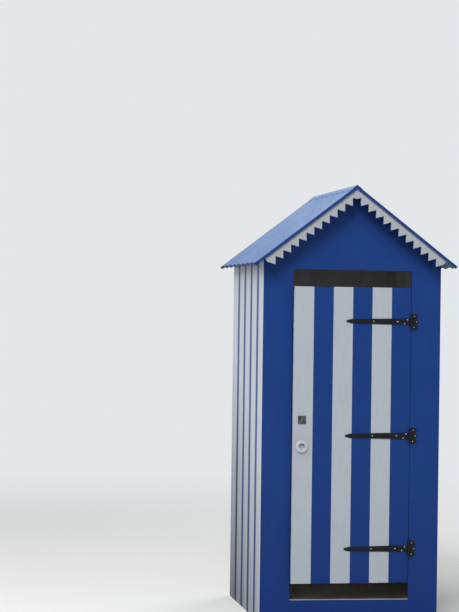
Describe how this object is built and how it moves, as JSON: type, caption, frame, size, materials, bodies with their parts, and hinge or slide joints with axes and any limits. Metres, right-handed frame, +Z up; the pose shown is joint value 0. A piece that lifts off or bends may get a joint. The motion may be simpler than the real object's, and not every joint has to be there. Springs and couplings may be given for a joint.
{
  "type": "beach hut",
  "caption": "Narrow timber beach hut with a corrugated gable roof, saw-tooth bargeboards, striped side walls and a striped door on long T-hinges.",
  "frame": {"origin": "on the ground under the middle of the floor, on the underside of the middle floor bearer", "axes": "+Z up, +X to the right across the front, -Y out of the door"},
  "size_m": [1.1396, 1.29, 2.4137],
  "materials": {
    "front_paint": "satin blue paint on plywood",
    "wall_paint": "satin white paint with blue stripes on plywood",
    "door_paint": "satin paint in upright blue and white stripes",
    "trim_paint": "satin white paint",
    "blue_timber": "satin blue paint on sawn timber",
    "bare_timber": "bare sawn softwood",
    "bare_plywood": "bare plywood",
    "roof_sheet": "blue corrugated sheet with a dull sheen",
    "black_iron": "black enamel",
    "lock_steel": "weathered zinc plate",
    "pull_white": "white moulded plastic",
    "pull_grey": "grey enamel"
  },
  "bodies": {
    "hut": {"front_stile_left": "front_paint", "front_stile_right": "front_paint", "front_sill_panel": "front_paint", "front_gable": "front_paint", "side_wall_left": "wall_paint", "side_wall_right": "wall_paint", "back_wall": "wall_paint", "corner_post_front_left": "bare_timber", "corner_post_front_right": "bare_timber", "corner_post_back_left": "bare_timber", "corner_post_back_right": "bare_timber", "floor_bearer_left": "bare_timber", "floor_bearer_middle": "bare_timber", "floor_bearer_right": "bare_timber", "floor_panel": "bare_plywood", "door_stop": "blue_timber", "bench_board": "bare_plywood", "bench_cleat_left": "bare_timber", "bench_cleat_right": "bare_timber", "roof_sheet_left": "roof_sheet", "roof_sheet_right": "roof_sheet", "ridge_cap": "roof_sheet", "ridge_purlin": "blue_timber", "eave_purlin_left": "blue_timber", "eave_purlin_right": "blue_timber", "bargeboard_front_left": "trim_paint", "bargeboard_front_right": "trim_paint", "bargeboard_back_left": "trim_paint", "bargeboard_back_right": "trim_paint", "hinge_leaf_upper": "black_iron", "hinge_leaf_middle": "black_iron", "hinge_leaf_lower": "black_iron", "hinge_pin_upper": "black_iron", "hinge_pin_middle": "black_iron", "hinge_pin_lower": "black_iron"},
    "door": {"door_panel": "door_paint", "hinge_strap_upper": "black_iron", "hinge_strap_middle": "black_iron", "hinge_strap_lower": "black_iron", "lock_plate": "lock_steel", "lock_case": "lock_steel", "pull_ring": "pull_white", "pull_dish": "pull_grey"}
  },
  "joints": [
    {"name": "door_hinge", "type": "hinge", "parent": "hut", "child": "door", "pos_m": [0.33375, -0.5565, 1.0355], "axis": [0, 0, 1], "range_deg": [-3, 162]}
  ]
}
